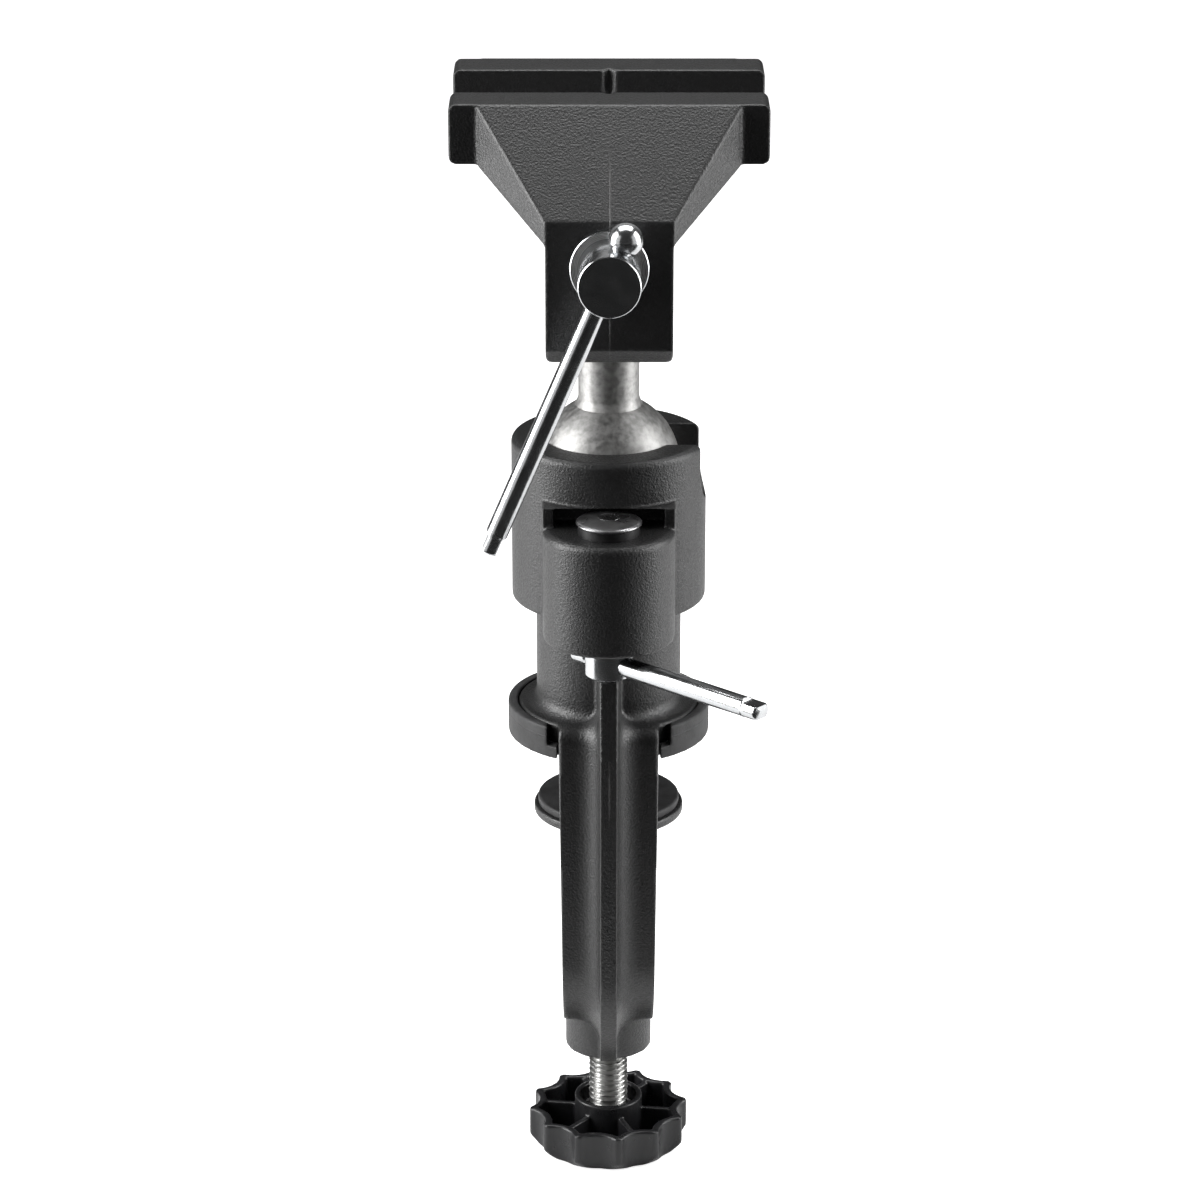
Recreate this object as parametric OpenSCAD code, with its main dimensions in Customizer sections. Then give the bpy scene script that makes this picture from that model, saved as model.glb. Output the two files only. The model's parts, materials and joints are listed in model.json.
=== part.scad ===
// Ball-joint table vise on a C-shaped bench clamp. Millimetres, +Z up.
// The origin is the centre of the bench pad's underside, so z = 0 is the bench top.
// The clamping screw, the column and the ball stand on the Z axis; the arm and the spindle face -Y.
// The head is drawn upright, with the jaws part open.

/* [Bench pad] */
// Outer diameter of the rubber pad
pad_d = 50.4; // [49:0.1:54]
// Thickness of the pad under the flange
pad_base = 3; // [2:0.1:3.5]
// Thickness of the rim round the flange
pad_rim = 2.4; // [1.5:0.1:3]
// Room in the rim on each side of the arm
pad_notch_side = 2.6; // [1:0.1:3.5]

/* [Clamp frame] */
// Thickness of the flange under the column
flange_t = 5; // [4:0.1:7]
// Diameter of the column
column_d = 36; // [34:0.1:37]
// Fillet between the column and its flange
foot_fillet = 3; // [1.5:0.1:3.4]
// Play between the pressure pad and the arm
arm_play = 0.6; // [0.4:0.1:1]
// Thickness of the arm's back plate
spine_t = 3.8; // [3:0.1:4.4]
// Width of the arm at its top
spine_top_w = 24.8; // [24.4:0.1:26]
// Width of the arm at its foot
spine_foot_w = 22.6; // [22.2:0.1:24]
// Width of the front of the arm's central rib
rib_w = 4.2; // [3:0.1:5]
// Width of the rib where it leaves the column
rib_root_w = 5.8; // [5:0.1:7]
// Distance from the screw axis to the rib's front
rib_reach = 34; // [32:0.1:36]
// Distance from the screw axis to the rib's front under the lock nut
rib_lead = 31; // [28:0.1:32]
// Radius of the hollows beside the rib
flute_r = 6.2; // [5:0.1:7.4]
// Rounding of the arm's shoulder under the flange's top
shoulder_r = 3.5; // [2:0.1:4]
// Height at which the rib leaves the column
rib_top = 24; // [20:0.1:25]
// Opening from the bench pad down to the lower leg
throat = 62; // [56:0.5:66]
// Height of the lower leg and its screw boss
leg_h = 26; // [24:0.5:32]
// Height above the foot at which the arm starts to bend round
bend_up = 32; // [30:0.1:33.5]
// Diameter of the screw boss
boss_d = 22; // [20:0.1:22.4]

/* [Clamping screw] */
// Thickness of the bench top that the clamp is set to
bench_t = 18; // [14:0.5:24]
// Major diameter of the clamping screw
screw_d = 10; // [9:0.1:10.6]
// Diameter of the screw's tip in the pressure pad
tip_d = 7; // [6:0.1:7.6]
// Diameter of the pressure pad
press_d = 37.6; // [36:0.1:40]
// Thickness of the pressure pad's disc at its hub
press_t = 5; // [4.5:0.1:6]
// Thickness of the disc's rim
press_rim = 2.4; // [1.6:0.1:3.4]
// Diameter of the pressure pad's hub
press_hub_d = 18; // [14:0.5:22]
// Height of the pressure pad's hub
press_hub_h = 6; // [4:0.1:7]
// Thickness of the pad's rubber facing
facing_t = 2; // [1.5:0.1:3]
// Inset of the rubber facing from the disc's edge
facing_inset = 1; // [0.5:0.1:3]
// Thickness of the retaining rings
clip_t = 1; // [0.8:0.1:1.2]
// Diameter of the ring on the screw's tip
tip_clip_d = 11; // [10:0.1:12]

/* [Knob] */
// Outer diameter of the knob over its crests
knob_d = 41.2; // [39.5:0.1:44]
// Diameter of the knob across its hollows
knob_hollow_d = 36.4; // [35.6:0.1:38]
// Radius of a hollow
hollow_r = 6.5; // [6:0.1:7.2]
// Number of hollows
knob_hollows = 12; // [9:1:13]
// Direction of a crest, from +X towards +Y
knob_turn = 7.3; // [0:0.1:30]
// Height of the knob's rim
knob_h = 10; // [9:0.1:12]
// Room between the lower boss and the knob's hub
knob_drop = 15.2; // [12:0.1:18]
// Wall thickness of the rim
knob_wall = 1.9; // [1.4:0.1:2.5]
// Thickness of the knob's floor
knob_floor = 2.4; // [2:0.1:3.5]
// Height by which the hub stands above the rim
hub_rise = 2.9; // [2:0.1:4]
// Outer diameter of the knob's hub
hub_d = 17.4; // [16.6:0.1:19]
// Bore of the hub above the insert
hub_bore = 14.6; // [14:0.1:15.2]
// Diameter of the threaded insert
insert_d = 13.4; // [13:0.1:13.8]
// Height of the threaded insert
insert_h = 6; // [4:0.1:7]
// Number of ribs in the knob
knob_ribs = 6; // [4:1:8]
// Thickness of the knob's ribs
knob_rib_t = 1.4; // [1:0.1:2]

/* [Ball socket] */
// Diameter of the ball
ball_d = 35; // [34.4:0.1:35.2]
// Height of the ball's centre above the bench top
ball_z = 70; // [69:0.1:72]
// Outer diameter of the socket cap
cap_d = 48; // [47:0.1:50]
// Height of the cap's top above the ball's centre
cap_over = 7.5; // [6.5:0.1:8.5]
// Depth of the cap's skirt below the ball's centre
cap_under = 33.8; // [31:0.1:34.6]
// Rounding of the cap's top edge
cap_round = 1.6; // [1:0.1:3]
// Width of the notch that takes the stem when the head lies on its side
notch_w = 16.4; // [16.2:0.1:18]
// Diameter of the dowel behind the cap
cap_pin_d = 4; // [3:0.1:5]
// Height of the dowel above the cap's lower edge
cap_pin_up = 8; // [5:0.1:12]
// Outer diameter of the ball's seat
seat_d = 29.6; // [28:0.1:30.6]
// Depth of the seat's top below the ball's centre
seat_drop = 10.2; // [9.6:0.1:11.5]
// Thickness of the seat under the ball
seat_floor = 3.4; // [2:0.1:5]

/* [Lock] */
// Distance from the column axis to the lock bolt
bolt_y = 27.4; // [27.2:0.1:28.2]
// Distance from the column axis to the centre of the nose's round
nose_y = 23.4; // [22:0.1:24]
// Outer radius of the cap's nose
nose_r = 16.1; // [15:0.1:16.4]
// Wall thickness of the nose
nose_wall = 3; // [2.5:0.1:3.5]
// Depth of the nose's lower edge below the ball's centre
nose_under = 36.8; // [35:0.1:38]
// Rounding of the nose's edges
nose_round = 1.6; // [1:0.1:3]
// Depth of the pocket's floor below the ball's centre
pocket_under = 8.6; // [8:0.1:9.5]
// Height of the pocket for the bolt's head, at the cap's front
pocket_h = 4.9; // [4.9:0.1:5.4]
// Height that the pocket loses towards its back
pocket_draft = 0.9; // [0.4:0.1:1.2]
// Width of the pocket
pocket_w = 27; // [26:0.1:29]
// Thickness of the pocket's floor
pocket_floor_t = 4; // [3:0.1:5]
// Diameter of the lock bolt
bolt_d = 6; // [5:0.1:7]
// Diameter of the lock bolt's head
bolt_head_d = 17.2; // [14:0.1:17.4]
// Height of the lock bolt's head
bolt_head_h = 1.8; // [1.6:0.1:2.2]
// Diameter of the dimple in the lock bolt's head
dimple_d = 5; // [3:0.1:6]
// Height of the dome on the lock bolt's head
bolt_dome = 1.1; // [0.8:0.1:1.1]
// Diameter of the washer under the bolt's head
lock_washer_d = 15; // [12:0.1:16]
// Thickness of the washer under the bolt's head
lock_washer_t = 2.4; // [1:0.1:2.5]
// Height of the column's lug in the nose
lug_h = 12.6; // [10:0.1:14]
// Diameter of the washer above the nut
thrust_d = 12.6; // [12:0.1:14]
// Thickness of the washer above the nut
thrust_t = 1; // [0.8:0.1:1.4]
// Diameter of the lock nut
nut_d = 11.6; // [11:0.1:12.6]
// Depth of the lock nut's lower end below the ball's centre
nut_under = 45.2; // [44.8:0.1:45.6]
// Diameter of the lock bar
lock_bar_d = 5; // [4.6:0.1:5.1]
// Length of the lock bar on its long side
lock_bar_long = 49; // [40:0.1:52]
// Play between the lock nut and the bar's short end
lock_bar_play = 0.2; // [0.1:0.1:1]
// Height of the lock bar above the nut's lower end
lock_bar_up = 3.4; // [3.2:0.1:3.6]
// Length of the flats pressed into the ends of the bars
flat_l = 4.6; // [3:0.1:5]
// Direction of the lock bar, from +X towards -Y
lock_bar_turn = 42.5; // [40:0.1:42.5]

/* [Stem] */
// Diameter of the neck
neck_d = 15; // [14:0.1:15.2]
// Width that the neck gains where it meets the ball
neck_flare = 2.4; // [1:0.1:2.6]
// Diameter of the collar
collar_d = 19.1; // [18:0.1:20]
// Height of the collar
collar_h = 7.7; // [6:0.1:8.4]
// Rounding of the collar's edges
collar_round = 1.4; // [0.6:0.1:2]
// Diameter of the shoulder in the slide plate's slot
shoulder_d = 12; // [10:0.1:13]
// Diameter of the screw that holds the head on the stem
stem_screw_d = 6; // [5:0.1:6.4]
// Diameter of that screw's head
stem_head_d = 10; // [9:0.1:10.4]
// Height of that screw's head
stem_head_h = 3.8; // [3:0.1:4]
// Length of that screw under its head
stem_screw_l = 16; // [14:0.5:20]
// Diameter of that screw's washer
stem_washer_d = 10.6; // [10:0.1:11.2]
// Thickness of that screw's washer
stem_washer_t = 0.8; // [0.6:0.1:0.9]

/* [Jaws] */
// Width of the jaws
jaw_w = 75; // [72:0.5:80]
// Opening between the jaws as drawn
jaw_gap = 22.4; // [16:0.1:28]
// Distance from the stem axis to the fixed jaw's gripping face
grip_y = 8; // [7.4:0.1:9]
// Height of the slide plate's underside above the ball's centre
plate_up = 39.7; // [39:0.1:42]
// Height of the jaws above the slide plate's underside
jaw_h = 56.9; // [55.5:0.1:60]
// Height of a jaw's bar
bar_h = 14.3; // [13:0.1:15]
// Thickness of a jaw's bar
bar_t = 12.8; // [12:0.1:14]
// Rounding of the corners at a bar's ends
bar_round = 1.8; // [0.6:0.1:2.4]
// Chamfer under a gripping face
bar_chamfer = 3.6; // [2:0.1:4]
// Width of the grooves in the gripping faces
groove_w = 3.3; // [2:0.1:4]
// Depth of the level groove below the top of the jaws
groove_down = 7.3; // [6:0.1:8]
// Width of a jaw's wedge at its bar
wedge_w = 62; // [58:0.5:66]
// Width of the blocks under the wedges
block_w = 29.6; // [29:0.1:31]
// Height at which the wedges leave the blocks' sides
wing_h = 29; // [27.5:0.1:30]
// Height at which the sloping faces start
slope_h = 34.6; // [33.9:0.1:36]
// Run of the moving jaw's sloping face
moving_run = 22.2; // [20:0.1:24]
// Run of the fixed jaw's sloping face
fixed_run = 39.8; // [38:0.1:42]
// Height of the chamfer at the front of the slide plate
toe_chamfer = 4; // [3:0.1:4.4]
// Depth of the moving jaw's lower part
lower_run = 36; // [34:0.1:38]
// Height of the moving jaw's lower part
lower_h = 12.8; // [12.7:0.1:14]
// Thickness of the slide plate
plate_t = 3.7; // [3:0.1:4]
// Rounding of the moving jaw's lower edges
plate_edge_r = 1.6; // [0.5:0.1:2.4]
// Length of the slide plate behind the stem axis
plate_tail = 84; // [76:0.5:90]
// Rounding of the slide plate's rear corners
plate_round = 9; // [4:0.5:12]
// Opening between the jaws at the end of their travel
max_gap = 58; // [50:0.5:60]
// Width of the fixed jaw's rail
rail_w = 19.6; // [17:0.1:20]
// Height of the fixed jaw's rail
rail_h = 8.5; // [8.2:0.1:8.6]
// Length of the rail in front of the stem axis
rail_lead = 21; // [14:0.5:21.5]

/* [Spindle] */
// Diameter of the spindle
spindle_d = 12; // [11:0.1:13]
// Height of the spindle axis above the slide plate's underside
spindle_h = 24.1; // [23.9:0.1:24.8]
// Diameter of the spindle's head
head_d = 14.5; // [13.5:0.1:15.5]
// Length of the spindle's head in front of the block
head_l = 17; // [15:0.1:19]
// Diameter of the spindle's flange
head_flange_d = 18.3; // [17:0.1:20]
// Thickness of the spindle's flange
head_flange_t = 2; // [1.5:0.1:3]
// Length of the spindle behind the stem axis
spindle_tail = 68; // [66:0.5:72]
// Diameter of the thread insert in the fixed jaw
insert_nut_d = 18; // [16:0.1:20]
// Length of the thread insert in the fixed jaw
insert_nut_l = 36; // [24:0.5:37]
// Depth of the groove for the spindle's retaining ring
clip_groove = 1; // [0.5:0.1:1.2]
// Diameter of the spindle's retaining ring
clip_d = 16; // [14.5:0.1:17]
// Diameter of the washer in front of that ring
clip_washer_d = 17; // [15:0.1:20]
// Diameter of the T-bar
tbar_d = 5.2; // [5:0.1:5.6]
// Distance from the block to the T-bar
tbar_out = 8.6; // [8:0.1:9]
// Length of the T-bar below the spindle axis
tbar_down = 72; // [60:0.1:72]
// Lean of the T-bar from the vertical
tbar_lean = 23; // [0:1:45]
// Diameter of the ball on the T-bar
knob_ball_d = 8.2; // [7.4:0.1:9]
// Height of the ball's middle above its flat foot
ball_foot = 1.9; // [1.6:0.1:2.6]

/* [Hidden] */

// Overrun of every cut
over = 1;
// Radial clearance of a turning or sliding fit
fit = 0.05;
// Clearance between faces that pass each other
slip = 0.1;
// Clearance round the ball and between loose neighbours
loose = 0.3;
// Small bevel on turned edges
bevel = 0.5;
// Smoothness of large and small round shapes
fine = 96;
small = 48;

flange_top = pad_base + flange_t;
flange_d = pad_d - 2*pad_rim - 2*loose;
spine_gap = press_d/2 + arm_play;
spine_front = spine_gap + spine_t;
shoulder_z = flange_top - shoulder_r;
leg_bottom = -throat - leg_h;
bend_z = leg_bottom + bend_up;
column_top = ball_z - seat_drop + loose;
seat_bottom = ball_z - ball_d/2 - seat_floor;

cap_top = ball_z + cap_over;
cap_bottom = ball_z - cap_under;
cavity_r = ball_d/2 + loose;
cap_bore_r = max(column_d/2 + 3*fit, cavity_r);
cap_pin_z = cap_bottom + cap_pin_up;
cap_pin_l = cap_d/2 - column_d/2 + 2*cap_pin_d;

pocket_floor_z = ball_z - pocket_under;
pocket_back = bolt_head_d/2 + loose - bolt_y;
nose_bottom = ball_z - nose_under;
nose_roof = pocket_floor_z - pocket_floor_t;
lug_top = nose_roof - 2*loose;
lug_bottom = lug_top - lug_h;
lug_r = nose_r - nose_wall - loose;
nut_bottom = ball_z - nut_under;
nut_top = lug_bottom - thrust_t - slip;
lock_bar_z = nut_bottom + lock_bar_up;
lock_bar_short = nut_d/2 + lock_bar_play + flat_l;
bolt_end = lock_bar_z + lock_bar_d/2 + bevel;

facing_top = -bench_t;
press_top = facing_top - facing_t;
press_bottom = press_top - press_t;
press_foot = press_bottom - press_hub_h;
clip_seat = press_top - press_t/2;
knob_top = leg_bottom - knob_drop;
rim_top = knob_top - hub_rise;
knob_bottom = rim_top - knob_h;
insert_bottom = knob_bottom + knob_floor;

plate_z = ball_z + plate_up;
rail_z = plate_z + plate_t + slip;
collar_top = plate_z - slip;
spindle_z = plate_z + spindle_h;
moving_bar_y = grip_y - jaw_gap - bar_t;
block_front = moving_bar_y - moving_run;
fixed_bar_y = grip_y + bar_t;
fixed_back = fixed_bar_y + fixed_run;
tunnel_w = rail_w + 2*loose;
tunnel_top = rail_z + rail_h + loose;
stem_head_z = rail_z + rail_h - stem_head_h - slip;
slot_front = -jaw_gap - shoulder_d/2 - loose;
slot_back = max_gap - jaw_gap + shoulder_d/2 + loose;
tbar_y = block_front - tbar_out;
flange_y = block_front - slip;
clip_y = moving_bar_y + slip;
ball_at = head_d/2 + loose + ball_foot;

// What rounding takes off an outer corner at the top right
module corner_waste(r) {
    difference() {
        square([r + over, r + over]);
        circle(r = r, $fn = small);
    }
}

// Half of a disc's section, its outer edges rounded at the top and at the bottom
module round_half(r, h, top, bottom) {
    difference() {
        square([r, h]);
        if (top > 0) translate([r - top, h - top]) corner_waste(top);
        if (bottom > 0) translate([r - bottom, bottom]) mirror([0, 1]) corner_waste(bottom);
    }
}

module round_disc(r, h, top, bottom) {
    rotate_extrude($fn = fine) round_half(r, h, top, bottom);
}

// A side view, drawn with Y across and Z up, made w wide about x = 0
module side_slab(w) {
    rotate([90, 0, 90]) translate([0, 0, -w/2]) linear_extrude(w) children();
}

// A pin along Z with a bevelled end at the top
module pin(d, h, edge = bevel) {
    cylinder(d = d, h = h - edge, $fn = small);
    translate([0, 0, h - edge]) cylinder(d1 = d, d2 = d - 2*edge, h = edge, $fn = small);
}

// The arm's level section: the back plate with the hollows that lead up to the rib
module arm_plate(back) {
    translate([-spine_top_w/2, -spine_front]) square([spine_top_w, spine_t + back]);
    difference() {
        translate([-rib_w/2 - flute_r, -spine_front - flute_r])
            square([rib_w + 2*flute_r, flute_r]);
        for (s = [-1, 1])
            translate([s*(rib_w/2 + flute_r), -spine_front - flute_r]) circle(r = flute_r, $fn = fine);
        for (s = [-1, 1])
            translate([s*(rib_w/2 + 2*flute_r), -spine_front - 2*flute_r])
                square([2*flute_r, 4*flute_r], center = true);
    }
}

module arm_section(back) {
    arm_plate(back);
    translate([-rib_w/2, -rib_reach]) square([rib_w, rib_reach - spine_gap + back]);
}

// A level section swept a quarter turn about the X axis, from the front down to the foot
module swept_down() {
    rotate([-90, 0, 0]) rotate([0, 90, 0])
        rotate_extrude(angle = 90, $fn = fine) rotate([0, 0, 90]) children();
}

// The back plate's section seen from the rounding of the shoulder
module shoulder_section() {
    translate([0, spine_front - shoulder_r]) arm_plate(shoulder_r - spine_t);
}

module spine() {
    intersection() {
        difference() {
            union() {
                translate([0, 0, bend_z]) linear_extrude(shoulder_z - bend_z) arm_section(0);
                translate([0, 0, bend_z]) swept_down() arm_section(spine_gap);
            }
            translate([-spine_top_w, -spine_gap, -throat]) cube([2*spine_top_w, 2*spine_gap, throat]);
        }
        // slow taper down the arm, seen from the front
        rotate([90, 0, 0]) linear_extrude(rib_reach + over)
            polygon([[-spine_top_w/2, shoulder_z], [spine_top_w/2, shoulder_z],
                [spine_foot_w/2, leg_bottom], [-spine_foot_w/2, leg_bottom]]);
    }
    // the plate and its hollows turn over the shoulder and run back to the column
    translate([0, shoulder_r - spine_front, shoulder_z]) mirror([0, 0, 1]) swept_down() shoulder_section();
    translate([0, shoulder_r - spine_front, shoulder_z]) rotate([90, 0, 180])
        linear_extrude(spine_front - shoulder_r - column_d*3/8) mirror([0, 1]) shoulder_section();
    // rib above the shoulder, with draft towards its front
    intersection() {
        side_slab(2*rib_root_w)
            polygon([[-column_d/2 + over, rib_top], [-rib_lead, rib_top], [-rib_reach, shoulder_z],
                [-rib_reach, pad_base + bevel], [-column_d/2 + over, pad_base + bevel]]);
        linear_extrude(rib_top)
            polygon([[-rib_root_w/2, -column_d/2 + over], [rib_root_w/2, -column_d/2 + over],
                [rib_w/2, -rib_reach], [-rib_w/2, -rib_reach]]);
    }
}

module clamp_frame() {
    color([0.13, 0.135, 0.14]) difference() {
        union() {
            translate([0, 0, pad_base]) round_disc(flange_d/2, flange_t, bevel, 0);
            translate([0, 0, pad_base]) cylinder(d = column_d, h = column_top - pad_base, $fn = fine);
            translate([0, 0, flange_top]) rotate_extrude($fn = fine) difference() {
                square([column_d/2 + foot_fillet, foot_fillet]);
                translate([column_d/2 + foot_fillet, foot_fillet]) circle(r = foot_fillet, $fn = small);
            }
            translate([0, -nose_y, lug_bottom]) cylinder(r = lug_r, h = lug_h, $fn = fine);
            translate([-lug_r, -nose_y, lug_bottom]) cube([2*lug_r, nose_y, lug_h]);
            translate([0, 0, leg_bottom]) cylinder(d = boss_d, h = leg_h, $fn = fine);
            spine();
        }
        translate([0, 0, seat_bottom]) cylinder(d = seat_d, h = column_top, $fn = fine);
        translate([0, -bolt_y, lug_bottom - over])
            cylinder(d = bolt_d + 2*loose, h = lug_h + 2*over, $fn = small);
        translate([0, 0, leg_bottom - over])
            cylinder(d = screw_d + 2*fit, h = leg_h + 2*over, $fn = small);
        cap_pin_shape(over);
    }
}

module bench_pad() {
    arm_slot = spine_top_w/2 + loose;
    color([0.2, 0.2, 0.21]) difference() {
        round_disc(pad_d/2, flange_top, bevel, 0);
        translate([0, 0, pad_base]) cylinder(d = flange_d + 2*loose, h = flange_top, $fn = fine);
        translate([-arm_slot - pad_notch_side, -pad_d, pad_base])
            cube([2*arm_slot + 2*pad_notch_side, pad_d - spine_gap + spine_t/2, flange_top]);
        translate([-arm_slot, -pad_d, -over]) cube([2*arm_slot, pad_d - spine_gap + loose, flange_top]);
    }
}

module clamp_screw() {
    color([0.75, 0.76, 0.77]) difference() {
        union() {
            translate([0, 0, insert_bottom + slip])
                pin(screw_d, press_foot - slip - insert_bottom - slip);
            translate([0, 0, press_foot - slip - bevel])
                pin(tip_d, press_top - bevel - press_foot + slip);
        }
        pad_clip_shape();
    }
}

// The ring on the screw's tip, and its groove
module pad_clip_shape() {
    translate([0, 0, clip_seat + slip]) difference() {
        cylinder(d = tip_clip_d, h = clip_t, $fn = small);
        translate([0, 0, -over]) cylinder(d = tip_d - 2*bevel, h = clip_t + 2*over, $fn = small);
    }
}

module pad_clip() {
    color([0.55, 0.56, 0.57]) pad_clip_shape();
}

module pressure_pad() {
    color([0.15, 0.155, 0.16]) difference() {
        union() {
            translate([0, 0, press_top - press_rim]) round_disc(press_d/2, press_rim, bevel, bevel);
            translate([0, 0, press_bottom])
                cylinder(d1 = press_hub_d, d2 = press_d - 2*bevel, h = press_t - press_rim, $fn = fine);
            translate([0, 0, press_foot]) cylinder(d = press_hub_d, h = press_hub_h + over, $fn = fine);
        }
        translate([0, 0, press_foot - over])
            cylinder(d = tip_d + 2*fit, h = press_t + press_hub_h + 2*over, $fn = small);
        translate([0, 0, clip_seat]) cylinder(d = tip_clip_d + 2*loose, h = press_t, $fn = small);
    }
}

module pad_facing() {
    color([0.1, 0.1, 0.105]) translate([0, 0, press_top]) round_disc(press_d/2 - facing_inset, facing_t, bevel, 0);
}

// The knob's outline: a disc with a ring of hollows, or the same drawn in by a wall
module knob_outline(inset = 0) {
    rotate(knob_turn) difference() {
        circle(r = knob_d/2 - inset, $fn = fine);
        for (i = [1:knob_hollows]) rotate((i - 1/2)*360/knob_hollows)
            translate([knob_hollow_d/2 + hollow_r, 0]) circle(r = hollow_r + inset, $fn = fine);
    }
}

module clamp_knob() {
    color([0.08, 0.08, 0.085]) difference() {
        union() {
            difference() {
                translate([0, 0, knob_bottom]) linear_extrude(knob_h) knob_outline();
                translate([0, 0, insert_bottom]) linear_extrude(knob_h) knob_outline(knob_wall);
                // slope round the floor's edge
                translate([0, 0, knob_bottom - over]) difference() {
                    cylinder(r = knob_d/2 + over, h = knob_floor + over, $fn = fine);
                    cylinder(r1 = knob_d/2 - knob_floor - over, r2 = knob_d/2 + slip,
                        h = knob_floor + over, $fn = fine);
                }
            }
            translate([0, 0, knob_bottom + bevel])
                cylinder(d = hub_d, h = knob_top - knob_bottom - bevel, $fn = fine);
            intersection() {
                translate([0, 0, knob_bottom + bevel]) linear_extrude(knob_h - 2*bevel)
                    knob_outline(knob_wall/2);
                for (i = [1:knob_ribs]) rotate([0, 0, knob_turn - 180/knob_hollows + i*360/knob_ribs])
                    translate([hub_bore/2 + bevel, -knob_rib_t/2, knob_bottom])
                        cube([knob_d/2, knob_rib_t, knob_h]);
            }
        }
        translate([0, 0, insert_bottom + insert_h]) cylinder(d = hub_bore, h = knob_h, $fn = fine);
        translate([0, 0, insert_bottom]) cylinder(d = insert_d, h = knob_h, $fn = fine);
    }
}

module knob_insert() {
    color([0.7, 0.58, 0.3]) translate([0, 0, insert_bottom]) difference() {
        cylinder(d = insert_d, h = insert_h, $fn = fine);
        translate([0, 0, -over]) cylinder(d = screw_d, h = insert_h + 2*over, $fn = small);
    }
}

// The dowel behind the cap, and its hole
module cap_pin_shape(extra = 0) {
    translate([0, cap_d/2 - cap_pin_l - slip, cap_pin_z]) rotate([-90, 0, 0])
        cylinder(d = cap_pin_d, h = cap_pin_l + extra, $fn = small);
}

module cap_pin() {
    color([0.6, 0.61, 0.62]) intersection() {
        cap_pin_shape();
        cylinder(r = cap_d/2 - bevel, h = cap_top, $fn = fine);
    }
}

module socket_cap() {
    color([0.13, 0.135, 0.14]) difference() {
        union() {
            translate([0, 0, cap_bottom]) round_disc(cap_d/2, cap_top - cap_bottom, cap_round, bevel);
            translate([0, -nose_y, nose_bottom])
                round_disc(nose_r, pocket_floor_z - nose_bottom, nose_round, nose_round/2);
            translate([0, 0, nose_bottom]) rotate([90, 0, 0]) linear_extrude(nose_y)
                for (s = [0, 1]) mirror([s, 0])
                    round_half(nose_r, pocket_floor_z - nose_bottom, nose_round, nose_round/2);
            // cheeks beside the pocket, flush with the shell's front
            translate([-nose_r, -cap_d/2, pocket_floor_z - 2*nose_round])
                cube([2*nose_r, cap_d/2, pocket_h + 2*nose_round]);
        }
        // bore over the column, and the ball's chamber above it
        translate([0, 0, nose_bottom - over])
            cylinder(r = cap_bore_r, h = column_top + loose - nose_bottom + over, $fn = fine);
        translate([0, 0, column_top]) cylinder(r = cavity_r, h = ball_z - column_top, $fn = fine);
        translate([0, 0, ball_z]) sphere(r = cavity_r, $fn = fine);
        // hollow of the nose round the column's lug
        translate([0, -nose_y, nose_bottom - over])
            cylinder(r = nose_r - nose_wall, h = nose_roof - nose_bottom + over, $fn = fine);
        translate([-nose_r + nose_wall, -nose_y, nose_bottom - over])
            cube([2*nose_r - 2*nose_wall, nose_y, nose_roof - nose_bottom + over]);
        // pocket for the bolt's head, its ceiling drawn down towards the back
        side_slab(pocket_w)
            polygon([[-cap_d, pocket_floor_z], [pocket_back, pocket_floor_z],
                [pocket_back, pocket_floor_z + pocket_h - pocket_draft],
                [-cap_d/2, pocket_floor_z + pocket_h], [-cap_d, pocket_floor_z + pocket_h]]);
        translate([0, -bolt_y, nose_roof - over])
            cylinder(d = bolt_d + 2*loose, h = pocket_floor_t + 2*over, $fn = small);
        // notch for the stem
        translate([0, 0, ball_z]) rotate([0, 90, 0]) cylinder(d = notch_w, h = cap_d, $fn = fine);
        translate([0, -notch_w/2, ball_z]) cube([cap_d, notch_w, cap_d]);
        cap_pin_shape(over);
    }
}

module ball_seat() {
    color([0.72, 0.6, 0.32]) difference() {
        translate([0, 0, seat_bottom]) cylinder(d = seat_d, h = ball_z - seat_drop - seat_bottom, $fn = fine);
        translate([0, 0, ball_z]) sphere(r = ball_d/2 + slip, $fn = fine);
    }
}

module ball() {
    color([0.7, 0.7, 0.69]) translate([0, 0, ball_z]) sphere(d = ball_d, $fn = fine);
}

module stem() {
    neck_foot = sqrt(pow(ball_d/2, 2) - pow(neck_d/2, 2));
    color([0.7, 0.7, 0.69]) difference() {
        translate([0, 0, ball_z]) union() {
            cylinder(d = neck_d, h = plate_up - collar_h, $fn = fine);
            translate([0, 0, neck_foot - neck_flare/2])
                cylinder(d1 = neck_d + neck_flare, d2 = neck_d, h = neck_flare, $fn = fine);
            translate([0, 0, plate_up - slip - collar_h])
                round_disc(collar_d/2, collar_h, collar_round, collar_round);
            cylinder(d = shoulder_d, h = rail_z - ball_z - fit, $fn = fine);
        }
        translate([0, 0, ball_z]) sphere(r = ball_d/2 + fit, $fn = fine);
        translate([0, 0, stem_head_z - stem_washer_t - stem_screw_l - bevel])
            cylinder(d = stem_screw_d, h = 2*stem_screw_l, $fn = small);
    }
}

module stem_screw() {
    color([0.3, 0.3, 0.31]) translate([0, 0, stem_head_z]) difference() {
        union() {
            pin(stem_head_d, stem_head_h);
            translate([0, 0, -stem_washer_t - stem_screw_l])
                cylinder(d = stem_screw_d, h = stem_screw_l + stem_washer_t + over, $fn = small);
        }
        translate([0, 0, stem_head_h/2]) cylinder(d = stem_screw_d, h = stem_head_h, $fn = 6);
    }
}

module stem_washer() {
    color([0.6, 0.61, 0.62]) translate([0, 0, stem_head_z - stem_washer_t]) difference() {
        cylinder(d = stem_washer_d, h = stem_washer_t, $fn = small);
        translate([0, 0, -over]) cylinder(d = stem_screw_d + 2*slip, h = 3*over, $fn = small);
    }
}

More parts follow.
